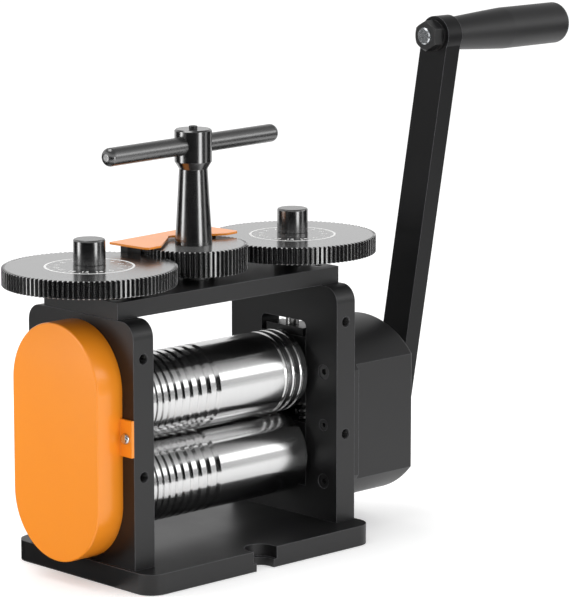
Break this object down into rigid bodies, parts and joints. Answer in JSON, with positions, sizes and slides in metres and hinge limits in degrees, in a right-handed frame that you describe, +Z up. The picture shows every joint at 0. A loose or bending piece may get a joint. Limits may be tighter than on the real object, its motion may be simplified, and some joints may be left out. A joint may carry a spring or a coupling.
{
  "type": "jewellers rolling mill",
  "caption": "Hand-cranked jewellers rolling mill: grooved steel rollers in a plate frame, screw-down gears turned by a tee handle, geared crank.",
  "frame": {"origin": "middle of the base plate's underside", "axes": "+X along the rollers towards the crank, -Y is the feed side with the front notch, +Z up"},
  "size_m": [0.3242, 0.098, 0.2502],
  "materials": {
    "black_paint": "satin black powder coat",
    "orange_paint": "gloss orange enamel",
    "blackened_steel": "black oxide, satin",
    "polished_steel": "ground and polished roller steel",
    "ground_steel": "machined steel",
    "bronze": "machined bearing bronze",
    "zinc": "bright zinc plate",
    "grip_plastic": "dark grey moulded plastic"
  },
  "bodies": {
    "frame": {"base_plate": "black_paint", "base_screws": "blackened_steel", "left_side_plate": "black_paint", "right_side_plate": "black_paint", "top_plate": "black_paint", "top_plate_screws": "blackened_steel", "screw_nuts": "bronze", "spindle_bush": "bronze", "lower_left_bearing": "blackened_steel", "lower_right_bearing": "blackened_steel", "lift_springs": "ground_steel", "gear_cover": "orange_paint", "cover_screws": "zinc", "gear_housing": "black_paint", "housing_screws": "blackened_steel", "locating_screws": "blackened_steel", "crank_bush": "bronze", "pointer_posts": "black_paint", "pointer_post_screws": "blackened_steel", "pointer_plate": "orange_paint", "pointer_screws": "blackened_steel"},
    "lower_roller_set": {"lower_roller": "polished_steel", "lower_roller_gear": "ground_steel", "drive_gear": "ground_steel", "lower_roller_keys": "ground_steel", "lower_roller_rings": "blackened_steel"},
    "upper_bearings": {"upper_left_bearing": "blackened_steel", "upper_right_bearing": "blackened_steel", "thrust_pads": "blackened_steel"},
    "upper_roller_set": {"upper_roller": "polished_steel", "upper_roller_gear": "ground_steel", "upper_roller_key": "ground_steel", "upper_roller_ring": "blackened_steel"},
    "left_screw": {"left_pressure_screw": "ground_steel", "left_dial_gear": "blackened_steel", "left_knob": "blackened_steel"},
    "right_screw": {"right_pressure_screw": "ground_steel", "right_dial_gear": "blackened_steel", "right_knob": "blackened_steel"},
    "tee_handle": {"centre_gear": "blackened_steel", "handle_spindle": "blackened_steel", "spindle_key": "ground_steel", "cross_bar": "blackened_steel", "set_screw": "blackened_steel", "spindle_washer": "blackened_steel", "spindle_ring": "blackened_steel"},
    "crank": {"crank_shaft": "blackened_steel", "crank_arm": "black_paint", "arm_screw": "blackened_steel", "grip_bolt": "zinc", "grip_nut": "blackened_steel", "grip_washer": "blackened_steel", "grip_ring": "ground_steel"},
    "grip": {"hand_grip": "grip_plastic"}
  },
  "joints": [
    {"name": "lower_roller_turn", "type": "hinge", "parent": "frame", "child": "lower_roller_set", "pos_m": [0, 0, 0.0402], "axis": [1, 0, 0], "continuous": true},
    {"name": "roller_lift", "type": "slide", "parent": "frame", "child": "upper_bearings", "axis": [0, 0, 1], "range_m": [-0.00038, 0.0034], "deforming": ["lift_springs"]},
    {"name": "upper_roller_turn", "type": "hinge", "parent": "upper_bearings", "child": "upper_roller_set", "pos_m": [0, 0, 0.0807], "axis": [1, 0, 0], "continuous": true},
    {"name": "left_screw_turn", "type": "hinge", "parent": "upper_bearings", "child": "left_screw", "pos_m": [-0.0645, 0, 0.12], "axis": [0, 0, 1], "range_deg": [-985, 113]},
    {"name": "right_screw_turn", "type": "hinge", "parent": "upper_bearings", "child": "right_screw", "pos_m": [0.0645, 0, 0.12], "axis": [0, 0, 1], "range_deg": [-985, 113]},
    {"name": "tee_handle_turn", "type": "hinge", "parent": "frame", "child": "tee_handle", "pos_m": [0, 0, 0.14], "axis": [0, 0, 1], "range_deg": [-180, 1580]},
    {"name": "crank_turn", "type": "hinge", "parent": "frame", "child": "crank", "pos_m": [0.12, 0, 0.06457], "axis": [1, 0, 0], "continuous": true},
    {"name": "grip_turn", "type": "hinge", "parent": "crank", "child": "grip", "pos_m": [0.18, -0.03062, 0.24002], "axis": [1, 0, 0], "continuous": true}
  ],
  "couplings": [
    {"joint": "upper_roller_turn", "follows": "lower_roller_turn", "ratio": -1},
    {"joint": "crank_turn", "follows": "lower_roller_turn", "ratio": -2.5455},
    {"joint": "tee_handle_turn", "follows": "roller_lift", "rad_per_m": 8072.9},
    {"joint": "left_screw_turn", "follows": "roller_lift", "rad_per_m": -5026.5},
    {"joint": "right_screw_turn", "follows": "roller_lift", "rad_per_m": -5026.5}
  ]
}
